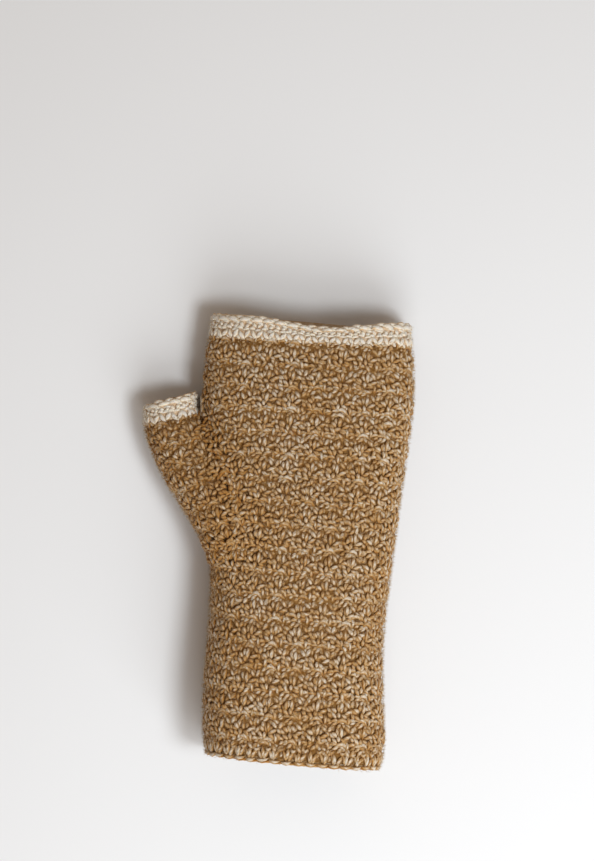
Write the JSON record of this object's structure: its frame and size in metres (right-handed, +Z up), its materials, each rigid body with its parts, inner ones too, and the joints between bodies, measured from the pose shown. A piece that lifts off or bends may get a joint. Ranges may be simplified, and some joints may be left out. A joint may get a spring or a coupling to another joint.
{
  "type": "crochet hand warmer",
  "caption": "Fingerless crochet hand warmer: a hollow ribbed tube for hand and wrist with a thumb gusset, open at wrist, fingers and thumb, with contrast edgings.",
  "frame": {"origin": "middle of the footprint, on the surface that the hand warmer lies on", "axes": "+Y from the wrist to the fingers, +Z up through the back of the hand, -X towards the thumb"},
  "size_m": [0.1033, 0.1692, 0.043],
  "materials": {
    "brown_yarn": "heather brown yarn, soft and matt with a faint sheen",
    "cream_yarn": "cream yarn, soft and matt"
  },
  "bodies": {
    "root": {"sleeve": "brown_yarn", "wrist_chain": "brown_yarn", "finger_edging": "cream_yarn", "thumb_edging": "cream_yarn"}
  },
  "joints": []
}
